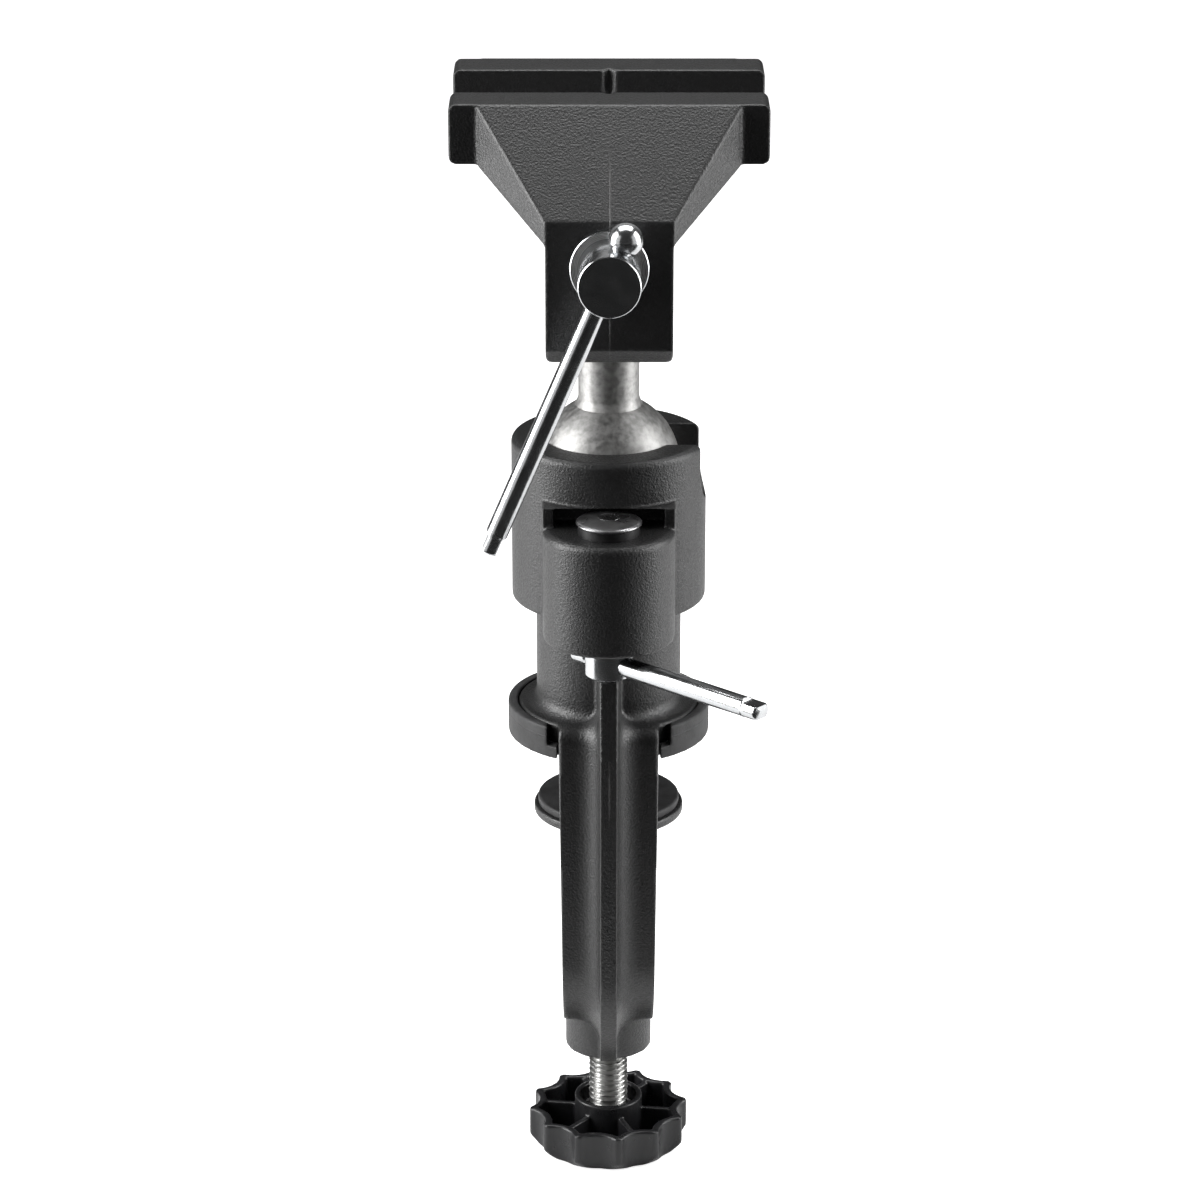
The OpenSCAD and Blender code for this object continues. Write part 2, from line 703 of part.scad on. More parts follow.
module lock_bolt() {
    head_z = pocket_floor_z + lock_washer_t;
    dome_r = (pow(bolt_head_d/2, 2) + pow(bolt_dome, 2))/(2*bolt_dome);
    color([0.75, 0.76, 0.77]) translate([0, -bolt_y, 0]) {
        difference() {
            intersection() {
                translate([0, 0, head_z]) round_disc(bolt_head_d/2, bolt_head_h, 0, bevel/2);
                translate([0, 0, head_z + bolt_head_h - dome_r]) sphere(r = dome_r, $fn = fine);
            }
            translate([0, 0, head_z + bolt_head_h - bevel])
                cylinder(d1 = dimple_d - 2*over, d2 = dimple_d + 2*over, h = 2*over, $fn = small);
        }
        translate([0, 0, bolt_end]) cylinder(d = bolt_d, h = head_z - bolt_end + bevel, $fn = small);
    }
}

module lock_washer() {
    color([0.09, 0.09, 0.095]) translate([0, -bolt_y, pocket_floor_z]) difference() {
        cylinder(d = lock_washer_d, h = lock_washer_t, $fn = fine);
        translate([0, 0, -over]) cylinder(d = bolt_d + slip, h = lock_washer_t + 2*over, $fn = small);
    }
}

module thrust_washer() {
    color([0.6, 0.61, 0.62]) translate([0, -bolt_y, lug_bottom - thrust_t]) difference() {
        cylinder(d = thrust_d, h = thrust_t, $fn = fine);
        translate([0, 0, -over]) cylinder(d = bolt_d + 2*slip, h = thrust_t + 2*over, $fn = small);
    }
}

// Places a shape, drawn along +Z, on the lock bar's axis with +Z towards its long side
module on_lock_bar() {
    translate([0, -bolt_y, lock_bar_z]) rotate([0, 90, -lock_bar_turn]) children();
}

module lock_nut() {
    color([0.78, 0.79, 0.8]) difference() {
        translate([0, -bolt_y, nut_top]) rotate([180, 0, 0]) pin(nut_d, nut_top - nut_bottom);
        translate([0, -bolt_y, bolt_end - bevel]) cylinder(d = bolt_d + 2*fit, h = nut_top, $fn = small);
        on_lock_bar() translate([0, 0, -nut_d]) cylinder(d = lock_bar_d + 2*fit, h = 2*nut_d, $fn = small);
    }
}

// A bar's pressed end along +Z: a little wider than the bar, with two flats
module pressed_end(d) {
    intersection() {
        pin(d + 2*bevel, flat_l);
        cube([2*d, d - 2*bevel, 3*flat_l], center = true);
    }
}

module lock_bar() {
    color([0.8, 0.81, 0.82]) on_lock_bar() {
        translate([0, 0, flat_l - lock_bar_short])
            cylinder(d = lock_bar_d, h = lock_bar_long + lock_bar_short - 2*flat_l, $fn = small);
        translate([0, 0, lock_bar_long - flat_l]) pressed_end(lock_bar_d);
        translate([0, 0, flat_l - lock_bar_short]) rotate([180, 0, 0]) pressed_end(lock_bar_d);
    }
}

// One jaw's bar: its outer face at y = 0, its gripping face at y = bar_t, both jaws alike
module jaw_bar() {
    groove_z = jaw_h - groove_down;
    difference() {
        side_slab(jaw_w) polygon([[0, jaw_h - bar_h], [bar_t - bar_chamfer, jaw_h - bar_h],
            [bar_t, jaw_h - bar_h + bar_chamfer], [bar_t, groove_z - groove_w/2],
            [bar_t - groove_w/2, groove_z], [bar_t, groove_z + groove_w/2], [bar_t, jaw_h], [0, jaw_h]]);
        translate([0, bar_t, 0]) linear_extrude(jaw_h + over)
            polygon([[-groove_w/2 - over, over], [0, -groove_w/2], [groove_w/2 + over, over]]);
        for (s = [0, 1]) mirror([s, 0, 0]) for (t = [0, 1])
            translate([jaw_w/2 - bar_round, bar_t + over, jaw_h - bar_h/2]) mirror([0, 0, t])
                translate([0, 0, bar_h/2 - bar_round]) rotate([90, 0, 0])
                    linear_extrude(bar_t + 2*over) corner_waste(bar_round);
    }
}

// The wedge and block in front of a bar: from the plan, the front and the side
module jaw_wedge(run, base, toe) {
    intersection() {
        rotate([90, 0, 0]) linear_extrude(run)
            polygon([[-block_w/2, base], [block_w/2, base], [block_w/2, wing_h],
                [wedge_w/2, jaw_h - bar_h], [wedge_w/2, jaw_h], [-wedge_w/2, jaw_h],
                [-wedge_w/2, jaw_h - bar_h], [-block_w/2, wing_h]]);
        linear_extrude(jaw_h)
            polygon([[-wedge_w/2, 0], [wedge_w/2, 0], [block_w/2, -run], [-block_w/2, -run]]);
        side_slab(wedge_w)
            polygon([[0, base], [toe - run, base], [-run, base + toe], [-run, slope_h], [0, jaw_h]]);
    }
}

module moving_jaw() {
    color([0.13, 0.135, 0.14]) difference() {
        union() {
            translate([0, moving_bar_y, plate_z]) {
                jaw_bar();
                jaw_wedge(moving_run, 0, toe_chamfer);
            }
            // lower part beside the rail
            translate([-block_w/2, block_front + lower_run/2, plate_z]) cube([block_w, lower_run/2, lower_h]);
            slide_plate();
        }
        // tunnel for the rail, open at the back
        translate([-tunnel_w/2, block_front + toe_chamfer, plate_z + plate_t])
            cube([tunnel_w, lower_run + over, tunnel_top - plate_z - plate_t]);
        translate([-tunnel_w/2, moving_bar_y, plate_z + plate_t])
            cube([tunnel_w, lower_run, lower_h]);
        // slot for the stem's shoulder
        translate([-shoulder_d/2 - loose, slot_front + shoulder_d/2, plate_z - over])
            cube([shoulder_d + 2*loose, slot_back - slot_front - shoulder_d, plate_t + over + slip]);
        for (y = [slot_front + shoulder_d/2, slot_back - shoulder_d/2])
            translate([0, y, plate_z - over])
                cylinder(r = shoulder_d/2 + loose, h = plate_t + over + slip, $fn = fine);
        translate([0, block_front - over, spindle_z]) rotate([-90, 0, 0])
            cylinder(d = spindle_d + 2*fit, h = moving_run + 2*over, $fn = fine);
        // soft lower edges
        for (s = [0, 1]) mirror([s, 0, 0])
            translate([block_w/2 - plate_edge_r, plate_tail + over, plate_z + plate_edge_r])
                rotate([90, 0, 0]) linear_extrude(plate_tail - block_front + 2*over)
                    mirror([0, 1]) corner_waste(plate_edge_r);
    }
}

// The plate under the head: block width, with round rear corners
module slide_plate() {
    length = plate_tail - moving_bar_y;
    translate([0, moving_bar_y, plate_z]) {
        translate([-block_w/2, 0, 0]) cube([block_w, length - plate_round, plate_t]);
        translate([-block_w/2 + plate_round, 0, 0]) cube([block_w - 2*plate_round, length, plate_t]);
        for (s = [-1, 1]) translate([s*(block_w/2 - plate_round), length - plate_round, 0])
            cylinder(r = plate_round, h = plate_t, $fn = fine);
    }
}

module fixed_jaw() {
    color([0.13, 0.135, 0.14]) difference() {
        union() {
            translate([0, fixed_bar_y, plate_z]) mirror([0, 1, 0]) {
                jaw_bar();
                jaw_wedge(fixed_run, rail_z - plate_z, 0);
            }
            translate([-rail_w/2, -rail_lead, rail_z]) cube([rail_w, rail_lead + fixed_bar_y + over, rail_h]);
        }
        translate([0, 0, rail_z - over]) cylinder(d = stem_screw_d + 2*slip, h = rail_h + 2*over, $fn = small);
        translate([0, 0, stem_head_z - stem_washer_t])
            cylinder(d = stem_washer_d + 2*loose, h = rail_h, $fn = fine);
        translate([0, fixed_bar_y - over, spindle_z]) rotate([-90, 0, 0])
            cylinder(d = insert_nut_d, h = insert_nut_l + over, $fn = fine);
        translate([0, fixed_bar_y - over, spindle_z]) rotate([-90, 0, 0])
            cylinder(d = spindle_d + 2*loose, h = fixed_run + 2*over, $fn = fine);
    }
}

module spindle_nut() {
    color([0.45, 0.46, 0.47]) translate([0, fixed_bar_y, spindle_z]) rotate([-90, 0, 0]) difference() {
        cylinder(d = insert_nut_d, h = insert_nut_l, $fn = fine);
        translate([0, 0, -over]) cylinder(d = spindle_d + 2*fit, h = insert_nut_l + 2*over, $fn = fine);
    }
}

module spindle() {
    color([0.78, 0.79, 0.8]) difference() {
        union() {
            translate([0, flange_y, spindle_z]) rotate([90, 0, 0]) {
                pin(head_d, head_l);
                pin(head_flange_d, head_flange_t);
            }
            translate([0, flange_y - over, spindle_z]) rotate([-90, 0, 0])
                pin(spindle_d, spindle_tail + over - flange_y);
        }
        spindle_clip_shape();
        on_tbar() translate([0, 0, -head_d]) cylinder(d = tbar_d + 2*fit, h = 2*head_d, $fn = small);
    }
}

// The spindle's retaining ring, and its groove
module spindle_clip_shape() {
    translate([0, clip_y + clip_t, spindle_z]) rotate([-90, 0, 0]) difference() {
        cylinder(d = clip_d, h = clip_t, $fn = fine);
        translate([0, 0, -over]) cylinder(d = spindle_d - 2*clip_groove, h = clip_t + 2*over, $fn = fine);
    }
}

module spindle_clip() {
    color([0.3, 0.3, 0.31]) spindle_clip_shape();
}

module clip_washer() {
    color([0.6, 0.61, 0.62]) translate([0, clip_y, spindle_z]) rotate([-90, 0, 0]) difference() {
        cylinder(d = clip_washer_d, h = clip_t, $fn = fine);
        translate([0, 0, -over]) cylinder(d = spindle_d + 2*fit, h = clip_t + 2*over, $fn = fine);
    }
}

// Places a shape, drawn along +Z, on the T-bar's axis with +Z towards its ball
module on_tbar() {
    translate([0, tbar_y, spindle_z]) rotate([0, tbar_lean, 0]) children();
}

module spindle_bar() {
    color([0.8, 0.81, 0.82]) on_tbar() {
        translate([0, 0, flat_l - tbar_down])
            cylinder(d = tbar_d, h = tbar_down - flat_l + ball_at, $fn = small);
        translate([0, 0, flat_l - tbar_down]) rotate([180, 0, 0]) pressed_end(tbar_d);
    }
}

module bar_ball() {
    color([0.8, 0.81, 0.82]) on_tbar() difference() {
        translate([0, 0, ball_at]) sphere(d = knob_ball_d, $fn = small);
        cylinder(d = tbar_d, h = ball_at, $fn = small);
        cylinder(d = knob_ball_d, h = ball_at - ball_foot, $fn = small);
    }
}

clamp_frame();
bench_pad();
clamp_screw();
knob_insert();
clamp_knob();
pressure_pad();
pad_facing();
pad_clip();
socket_cap();
cap_pin();
ball_seat();
ball();
stem();
lock_bolt();
lock_washer();
lock_nut();
thrust_washer();
lock_bar();
fixed_jaw();
spindle_nut();
stem_screw();
stem_washer();
moving_jaw();
spindle();
spindle_clip();
clip_washer();
spindle_bar();
bar_ball();
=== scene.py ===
import json
import math

import bmesh
import bpy
from mathutils import Matrix, Vector


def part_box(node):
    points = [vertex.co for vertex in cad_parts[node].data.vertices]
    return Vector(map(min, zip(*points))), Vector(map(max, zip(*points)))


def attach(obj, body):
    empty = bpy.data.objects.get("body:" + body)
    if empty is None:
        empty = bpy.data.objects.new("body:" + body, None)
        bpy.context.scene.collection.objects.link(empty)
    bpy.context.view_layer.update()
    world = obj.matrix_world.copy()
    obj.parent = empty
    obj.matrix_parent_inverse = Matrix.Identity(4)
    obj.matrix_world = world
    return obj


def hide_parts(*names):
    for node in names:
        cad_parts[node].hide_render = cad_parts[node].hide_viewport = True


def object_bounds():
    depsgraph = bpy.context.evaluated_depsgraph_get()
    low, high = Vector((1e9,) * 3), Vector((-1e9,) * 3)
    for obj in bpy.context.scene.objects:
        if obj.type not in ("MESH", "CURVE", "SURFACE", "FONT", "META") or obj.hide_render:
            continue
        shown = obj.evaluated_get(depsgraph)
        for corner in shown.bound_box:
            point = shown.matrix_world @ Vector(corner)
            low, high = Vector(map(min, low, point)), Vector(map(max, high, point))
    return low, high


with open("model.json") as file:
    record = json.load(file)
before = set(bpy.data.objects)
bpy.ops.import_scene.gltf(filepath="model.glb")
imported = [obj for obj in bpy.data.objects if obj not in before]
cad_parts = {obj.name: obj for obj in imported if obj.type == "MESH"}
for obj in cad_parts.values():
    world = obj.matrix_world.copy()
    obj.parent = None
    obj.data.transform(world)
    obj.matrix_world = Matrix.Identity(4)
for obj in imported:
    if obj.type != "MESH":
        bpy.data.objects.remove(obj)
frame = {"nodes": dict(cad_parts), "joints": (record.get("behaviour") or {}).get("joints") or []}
cad_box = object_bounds()


# Clamp frame. One aluminium die casting: the column, the round flange at its foot and the C-shaped arm with
# its rib and lower screw boss. It is powder coated black with a fine texture, so its edges are soft.
def finish(name, colour, metallic=0.0, roughness=0.5):
    material = bpy.data.materials.new(name)
    material.use_nodes = True
    shader = material.node_tree.nodes["Principled BSDF"]
    shader.inputs["Base Color"].default_value = (*colour, 1)
    shader.inputs["Metallic"].default_value = metallic
    shader.inputs["Roughness"].default_value = roughness
    return material, material.node_tree, shader


def noise(tree, scale, detail=2.0, stretch=(1, 1, 1)):
    """Noise in the piece's own metres, drawn out along an axis where stretch is small."""
    place = tree.nodes.new("ShaderNodeTexCoord")
    turn = tree.nodes.new("ShaderNodeMapping")
    turn.inputs["Scale"].default_value = stretch
    texture = tree.nodes.new("ShaderNodeTexNoise")
    texture.inputs["Scale"].default_value = scale
    texture.inputs["Detail"].default_value = detail
    tree.links.new(place.outputs["Object"], turn.inputs["Vector"])
    tree.links.new(turn.outputs["Vector"], texture.inputs["Vector"])
    return texture.outputs["Fac"]


def spread(tree, value, low, high, start=0.35, end=0.65):
    """Maps a texture's value between start and end to low and high."""
    node = tree.nodes.new("ShaderNodeMapRange")
    node.inputs["From Min"].default_value = start
    node.inputs["From Max"].default_value = end
    node.inputs["To Min"].default_value = low
    node.inputs["To Max"].default_value = high
    tree.links.new(value, node.inputs["Value"])
    return node.outputs["Result"]


def tint(tree, shader, value, dark, light):
    """Colours the surface between two tones by a texture's value."""
    mix = tree.nodes.new("ShaderNodeMix")
    mix.data_type = "RGBA"
    mix.inputs["A"].default_value = (*dark, 1)
    mix.inputs["B"].default_value = (*light, 1)
    tree.links.new(value, mix.inputs["Factor"])
    tree.links.new(mix.outputs["Result"], shader.inputs["Base Color"])


def relief(tree, shader, layers, strength=1.0):
    """Raises the surface by textures laid over one another, given as (value, depth)."""
    before = None
    for value, depth in layers:
        bump = tree.nodes.new("ShaderNodeBump")
        bump.inputs["Strength"].default_value = strength
        bump.inputs["Distance"].default_value = depth
        tree.links.new(value, bump.inputs["Height"])
        if before:
            tree.links.new(before, bump.inputs["Normal"])
        before = bump.outputs["Normal"]
    tree.links.new(before, shader.inputs["Normal"])


def stripe(tree, axis, at, width):
    """1 on a fine line round the piece where its x, y or z is at the given place, else 0."""
    place = tree.nodes.new("ShaderNodeTexCoord")
    split = tree.nodes.new("ShaderNodeSeparateXYZ")
    tree.links.new(place.outputs["Object"], split.inputs["Vector"])
    away = None
    for kind, other in (("SUBTRACT", at), ("ABSOLUTE", 0)):
        step = tree.nodes.new("ShaderNodeMath")
        step.operation = kind
        step.inputs[1].default_value = other
        tree.links.new(away or split.outputs[axis], step.inputs[0])
        away = step.outputs["Value"]
    return spread(tree, away, 1, 0, 0.3 * width, width)


def powder_coat(name, seam=None):
    """Fine textured black coat.

    seam is (low, high): the heights between which the casting's parting line still shows through the coat.
    """
    material, tree, shader = finish(name, (0.005, 0.005, 0.0052), roughness=0.45)
    shader.inputs["Specular IOR Level"].default_value = 0.78
    grain = noise(tree, 1900, detail=2)
    orange_peel = noise(tree, 1300)
    tint(tree, shader, spread(tree, grain, 0, 1), (0.003, 0.0031, 0.0032), (0.008, 0.0081, 0.0083))
    tree.links.new(spread(tree, grain, 0.52, 0.38), shader.inputs["Roughness"])
    layers = [(orange_peel, 0.00003), (grain, 0.00021)]
    if seam:
        low, high = seam
        seam_x, seam_w, seam_depth = 0.0002, 0.00018, 0.00016
        both = tree.nodes.new("ShaderNodeMath")
        both.operation = "MULTIPLY"
        tree.links.new(stripe(tree, "X", seam_x, seam_w), both.inputs[0])
        tree.links.new(stripe(tree, "Z", (low + high) / 2, (high - low) / 2), both.inputs[1])
        layers.append((both.outputs["Value"], seam_depth))
    relief(tree, shader, layers, 0.75)
    return material


def shaped(piece, steps):
    """Applies modifiers, given as (kind, settings), to a piece's mesh, and shades it smooth."""
    for kind, settings in steps:
        modifier = piece.modifiers.new(kind, kind)
        for key, value in settings.items():
            setattr(modifier, key, value)
    view = bpy.context.evaluated_depsgraph_get()
    mesh = bpy.data.meshes.new_from_object(piece.evaluated_get(view))
    piece.modifiers.clear()
    piece.data = mesh
    mesh.shade_smooth()
    return piece


def cast_from(node, grain, passes, keep=0.3, soft=None):
    """The solid's skin, built again in facets as small as grain and smoothed so that its edges turn soft.

    soft is (where, passes): a test of a point's place, and how much more its surface is smoothed there.
    """
    mesh = frame["nodes"][node].data.copy()
    mesh.materials.clear()
    piece = bpy.data.objects.new(node + "_casting", mesh)
    bpy.context.scene.collection.objects.link(piece)
    shaped(piece, [("WELD", {"merge_threshold": 1e-6}),
                   ("REMESH", {"mode": "VOXEL", "voxel_size": grain}),
                   ("SMOOTH", {"factor": 0.5, "iterations": passes})])
    if soft:
        where, more = soft
        group = piece.vertex_groups.new(name="soft")
        group.add([v.index for v in piece.data.vertices if where(v.co)], 1.0, "REPLACE")
        shaped(piece, [("SMOOTH", {"factor": 0.5, "iterations": more, "vertex_group": "soft"})])
    return shaped(piece, [("DECIMATE", {"ratio": keep})])


def fit_piece(piece, body, slot, material, *nodes):
    """Coats a piece, and lets it ride on its body in the place of the solids that it stands for."""
    piece.data.materials.clear()
    piece.data.materials.append(material)
    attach(piece, body)
    if nodes:
        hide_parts(*nodes)
    return piece


def at_shoulder(at):
    """Where the arm's flutes run out into the flange."""
    return abs(at.x) < 0.0135 and -0.0295 < at.y < -0.015 and -0.004 < at.z < 0.02


arm_seam = (-0.014, 0.006)
arm = cast_from("clamp_frame", 0.0004, 4, soft=(at_shoulder, 18))
fit_piece(arm, "base", "coated_casting", powder_coat("arm's powder coat", seam=arm_seam), "clamp_frame")


# Bench pad. A moulded rubber cup pressed over the flange, so that the clamp leaves no marks. Its rim is cut
# away at the front for the arm.
def black_rubber(name, line_at=None):
    """Matt rubber; line_at is the height of the mould's line round a moulded rim."""
    material, tree, shader = finish(name, (0.02, 0.02, 0.02), roughness=0.6)
    bloom = noise(tree, 260, detail=3)
    tint(tree, shader, spread(tree, bloom, 0, 1), (0.020, 0.020, 0.0205), (0.036, 0.036, 0.037))
    heights = [(noise(tree, 1800, detail=2), 0.00008)]
    if line_at is not None:
        heights.append((stripe(tree, "Z", line_at, 0.0002), 0.00015))
    relief(tree, shader, heights, 0.6)
    return material


mould_line_z = 0.0052
rim_rubber = black_rubber("black rubber with a mould line", line_at=mould_line_z)
pad = cast_from("bench_pad", 0.0003, 3)
fit_piece(pad, "base", "black_rubber", rim_rubber, "bench_pad")


# Clamping screw. Zinc-plated steel with a rolled M10 thread from the knob almost to the pressure pad,
# which turns on its plain tip.
def turned(name, outline, place, sides=72, thread=None):
    """A turned piece from its outline of (radius, height) points; thread is (start, end, pitch, depth)."""
    flank, crest = 1.25, 0.12
    skin = bmesh.new()
    rings = []
    for radius, height in outline:
        if radius < 1e-9:
            rings.append([skin.verts.new((0, 0, height))])
            continue
        ring = []
        for side in range(sides):
            angle = 2 * math.pi * side / sides
            cut = 0.0
            if thread and thread[0] <= height <= thread[1]:
                start, end, pitch, depth = thread
                lead = min(1.0, (height - start) / pitch, (end - height) / pitch)
                wave = abs(2 * ((height / pitch - side / sides) % 1) - 1)
                cut = depth * lead * min(1.0, max(0.0, wave * flank - crest))
            reach = radius - cut
            ring.append(skin.verts.new((reach * math.cos(angle), reach * math.sin(angle), height)))
        rings.append(ring)
    for low, high in zip(rings, rings[1:]):
        for side in range(sides):
            after = (side + 1) % sides
            if len(low) == 1:
                skin.faces.new((low[0], high[side], high[after]))
            elif len(high) == 1:
                skin.faces.new((low[after], low[side], high[0]))
            else:
                skin.faces.new((low[side], low[after], high[after], high[side]))
    bmesh.ops.recalc_face_normals(skin, faces=skin.faces)
    mesh = bpy.data.meshes.new(name)
    skin.to_mesh(mesh)
    skin.free()
    mesh.transform(place)
    piece = bpy.data.objects.new(name, mesh)
    bpy.context.scene.collection.objects.link(piece)
    mesh.shade_smooth()
    mesh.set_sharp_from_angle(angle=math.radians(38))
    return piece


def run_of_thread(radius, start, end, pitch):
    """Outline points close enough together along a thread to draw its form."""
    count = round(10 * (end - start) / pitch)
    return [(radius, start + (end - start) * i / count) for i in range(count + 1)]


def corner(radius, height, r, turns, n=5):
    """Points round a rounded edge: radius and height of its centre, its own radius, and its angles."""
    first, last = (math.radians(t) for t in turns)
    return [(radius + r * math.cos(first + (last - first) * i / n),
             height + r * math.sin(first + (last - first) * i / n)) for i in range(n + 1)]


def zinc_plate():
    material, tree, shader = finish("zinc plate", (0.40, 0.40, 0.39), 1.0, 0.34)
    tree.links.new(spread(tree, noise(tree, 500, detail=3), 0.28, 0.42), shader.inputs["Roughness"])
    relief(tree, shader, [(noise(tree, 2400), 0.00002)], 0.3)
    return material


zinc = zinc_plate()
screw_low, screw_high = (v.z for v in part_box("clamp_screw"))
screw_r, tip_r, tip_length = 0.005, 0.0035, 0.0105
screw_pitch, screw_depth = 0.0015, 0.00086
foot_bevel, shoulder_bevel, tip_bevel = 0.0006, 0.0008, 0.0005
shoulder = screw_high - tip_length
screw_from, screw_to = screw_low + foot_bevel, shoulder - shoulder_bevel
screw_outline = ([(0, screw_low), (screw_r - foot_bevel, screw_low)]
                 + run_of_thread(screw_r, screw_from, screw_to, screw_pitch)
                 + [(screw_r - shoulder_bevel, shoulder), (tip_r, shoulder)]
                 + [(tip_r, screw_high - tip_bevel), (tip_r - tip_bevel, screw_high), (0, screw_high)])
screw = turned("clamp_screw_thread", screw_outline, Matrix.Identity(4),
               thread=(screw_from, screw_to, screw_pitch, screw_depth))
fit_piece(screw, "screw_body", "zinc_steel", zinc, "clamp_screw")


# Star knob. Black moulded plastic with twelve hollows for the fingers round its rim, open on top with six
# ribs, and moulded round a threaded insert that holds it on the screw.
def moulded_plastic():
    material, tree, shader = finish("black moulded plastic", (0.010, 0.010, 0.011), roughness=0.34)
    tree.links.new(spread(tree, noise(tree, 300, detail=3), 0.27, 0.4), shader.inputs["Roughness"])
    relief(tree, shader, [(noise(tree, 1400), 0.00005)], 0.3)
    return material


def black_oxide():
    material, tree, shader = finish("black oxide", (0.006, 0.006, 0.0065), roughness=0.45)
    tree.links.new(spread(tree, noise(tree, 800, detail=2), 0.38, 0.52), shader.inputs["Roughness"])
    return material


def coat_solids(material, *nodes):
    """Gives its finish to each solid that stays as it is."""
    for node in nodes:
        skin = frame["nodes"][node].data
        skin.materials.clear()
        skin.materials.append(material)


rim_inner_r = 0.016


def on_rim(at):
    """Beyond the ribs, where the hollows for the fingers are."""
    return math.hypot(at.x, at.y) > rim_inner_r


knob = cast_from("clamp_knob", 0.00028, 4, soft=(on_rim, 30))
fit_piece(knob, "screw_body", "black_plastic", moulded_plastic(), "clamp_knob")
oxide = black_oxide()
coat_solids(oxide, "knob_insert")


# Pressure pad. A cast disc that swivels on the screw's tip, where a spring ring holds it. Its rubber facing
# grips from below.
pressure_disc = cast_from("pressure_pad", 0.0003, 4)
coat = powder_coat("black powder coat")
fit_piece(pressure_disc, "pad_body", "coated_casting", coat, "pressure_pad")
facing = cast_from("pad_facing", 0.00025, 4)
fit_piece(facing, "pad_body", "black_rubber", black_rubber("black rubber"), "pad_facing")
coat_solids(zinc, "pad_clip")


# Socket cap. A second casting over the column's top, keyed to it by a dowel. It draws the ball down on its
# seat, and its nose holds the lock bolt. The notch on one side lets the head lie down.
def round_pocket(at):
    """Round the pocket for the bolt's head, at the top of the nose."""
    return abs(at.x) < 0.0155 and at.y < -0.0225 and 0.0585 < at.z < 0.0675


cap = cast_from("socket_cap", 0.0003, 4, soft=(round_pocket, 8))
fit_piece(cap, "base", "coated_casting", coat, "socket_cap")
coat_solids(zinc, "cap_pin")


# Ball and stem. Turned from one bar of steel: the ball left as turned, a short neck and a collar that
# the head turns on. They are two pieces here because the ball's two ways of moving are two joints.
def turned_steel():
    material, tree, shader = finish("turned steel", (0.35, 0.35, 0.34), 1.0, 0.48)
    blotch = noise(tree, 700, detail=6)
    lines = noise(tree, 1600, detail=2, stretch=(0.03, 0.03, 1))
    tint(tree, shader, spread(tree, blotch, 0, 1), (0.25, 0.248, 0.242), (0.40, 0.397, 0.39))
    tree.links.new(spread(tree, blotch, 0.44, 0.54), shader.inputs["Roughness"])
    relief(tree, shader, [(lines, 0.000015), (noise(tree, 1500, detail=2), 0.00003)], 0.6)
    return material


steel = turned_steel()
ball_low, ball_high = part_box("ball")
ball_r = (ball_high.z - ball_low.z) / 2
ball_z = (ball_high.z + ball_low.z) / 2
neck_r, collar_r, shoulder_r, collar_h = 0.0075, 0.00955, 0.006, 0.0077
low_round, high_round, collar_gap = 0.0015, 0.0014, 0.0001
stem_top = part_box("stem")[1].z
collar_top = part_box("moving_jaw")[0].z - collar_gap
collar_low = collar_top - collar_h
foot_z = ball_z + math.sqrt(ball_r ** 2 - neck_r ** 2)
flare = [(0.0084, foot_z - 0.0006), (0.00795, foot_z + 0.0003), (0.0076, foot_z + 0.0012),
         (neck_r, foot_z + 0.0018)]
stem_outline = ([(0, ball_z + ball_r + 0.0001), (neck_r / 2, foot_z + 0.0009)]
                + flare
                + [(neck_r, collar_low)]
                + corner(collar_r - low_round, collar_low + low_round, low_round, (-90, 0))
                + corner(collar_r - high_round, collar_top - high_round, high_round, (0, 90))
                + [(shoulder_r, collar_top), (shoulder_r, stem_top), (0, stem_top)])
stem = turned("stem_and_collar", stem_outline, Matrix.Identity(4), sides=96)
fit_piece(stem, "stem_body", "turned_steel", steel, "stem")
ball_outline = [(ball_r * math.cos(math.radians(a)), ball_z + ball_r * math.sin(math.radians(a)))
                for a in range(-88, 90, 2)]
ball = turned("ball_turned", [(0, ball_z - ball_r)] + ball_outline + [(0, ball_z + ball_r)],
              Matrix.Identity(4), sides=96)
fit_piece(ball, "ball_body", "turned_steel", steel, "ball")


# Ball seat. A cup of sintered bronze, pressed into the top of the column and hidden inside. The ball turns
# on it, and the socket cap draws the ball down against it.
def bronze_finish():
    material, tree, shader = finish("sintered bronze", (0.5, 0.34, 0.16), 1.0, 0.4)
    tree.links.new(spread(tree, noise(tree, 1500, detail=3), 0.3, 0.55), shader.inputs["Roughness"])
    return material


coat_solids(bronze_finish(), "ball_seat")


# Lock bolt. A chromed mushroom-head bolt with a shallow dimple, on a black washer. It hangs through the
# nose and the column's lug, and the nut below it pulls the cap down.
def chrome_plate(name, colour, rough):
    """Plated steel, with the faint waves of the ground bar below."""
    material, tree, shader = finish(name, colour, 1.0, rough)
    waves = noise(tree, 240, detail=3)
    tree.links.new(spread(tree, waves, 0.8 * rough, 1.2 * rough), shader.inputs["Roughness"])
    relief(tree, shader, [(noise(tree, 260, detail=2), 0.00003)], 0.3)
    return material


